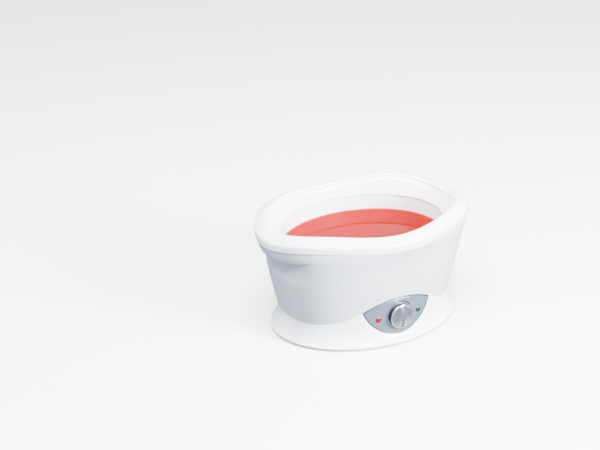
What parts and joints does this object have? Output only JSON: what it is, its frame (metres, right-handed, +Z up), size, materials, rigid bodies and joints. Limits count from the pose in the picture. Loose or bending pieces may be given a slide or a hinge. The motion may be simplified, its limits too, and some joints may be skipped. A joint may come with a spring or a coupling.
{
  "type": "paraffin wax bath",
  "caption": "Oval white paraffin wax bath with a flared foot, rolled rim, wax-filled pan, leaf-shaped silver control panel, turning knob and red and green indicators.",
  "frame": {"origin": "middle of the footprint on the surface the rubber feet stand on", "axes": "+X along the length, +Z up; the control panel faces -Y and the cord inlet faces +Y"},
  "size_m": [0.34, 0.253, 0.1833],
  "materials": {
    "white_abs_shell": "gloss",
    "white_abs_rim": "gloss",
    "white_abs_foot": "gloss",
    "pan_aluminium": "satin",
    "silicone_seal": "satin",
    "zinc_steel": "zinc plated",
    "paraffin_wax": "liquid gloss",
    "white_grid": "satin",
    "foot_rubber": "matt",
    "gland_nylon": "satin",
    "heater_mat": "satin",
    "spreader_foil": "satin",
    "insulation_felt": "matt",
    "copper_tube": "drawn",
    "cutout_body": "satin",
    "thermostat_case": "satin",
    "brass_nut": "turned",
    "silver_panel": "silver metallic satin",
    "panel_edge": "dark silver satin",
    "red_lens_pc": "clear gloss",
    "green_lens_pc": "clear gloss",
    "lamp_glass": "clear gloss",
    "board_laminate": "satin",
    "terminal_nylon": "satin",
    "lead_brown": "satin",
    "lead_blue": "satin",
    "lead_earth": "satin",
    "knob_silver": "satin chrome",
    "knob_black": "satin",
    "spring_steel": "polished"
  },
  "bodies": {
    "housing": {"outer_shell": "white_abs_shell", "rim_ring": "white_abs_rim", "wax_pan": "pan_aluminium", "pan_gasket": "silicone_seal", "pan_screws": "zinc_steel", "wax_fill": "paraffin_wax", "pan_grid": "white_grid", "base_tray": "white_abs_foot", "base_screws": "zinc_steel", "rubber_feet": "foot_rubber", "cord_gland": "gland_nylon", "gland_nut": "gland_nylon", "heater_pad": "heater_mat", "heat_spreader": "spreader_foil", "insulation_pad": "insulation_felt", "clamp_plate": "zinc_steel", "heater_studs": "zinc_steel", "heater_nuts": "zinc_steel", "sensor_bulb": "copper_tube", "bulb_saddle": "spreader_foil", "capillary_tube": "copper_tube", "thermal_cutout": "cutout_body", "cutout_clip": "spring_steel", "thermostat_body": "thermostat_case", "thermostat_nut": "brass_nut", "thermostat_bracket": "zinc_steel", "bracket_screws": "zinc_steel", "control_bezel": "silver_panel", "bezel_trim": "panel_edge", "red_lens": "red_lens_pc", "green_lens": "green_lens_pc", "red_lamp": "lamp_glass", "green_lamp": "lamp_glass", "lamp_board": "board_laminate", "terminal_block": "terminal_nylon", "terminal_screws": "brass_nut", "heater_lead": "lead_brown", "control_lead": "lead_blue", "earth_lead": "lead_earth"},
    "control_knob": {"knob_dial": "knob_silver", "knob_core": "knob_black", "knob_clip": "spring_steel", "thermostat_spindle": "zinc_steel"}
  },
  "joints": [
    {"name": "knob_turn", "type": "hinge", "parent": "housing", "child": "control_knob", "pos_m": [0, -0.1045, 0.0444], "axis": [0, -1, 0], "range_deg": [-52, 75]}
  ]
}
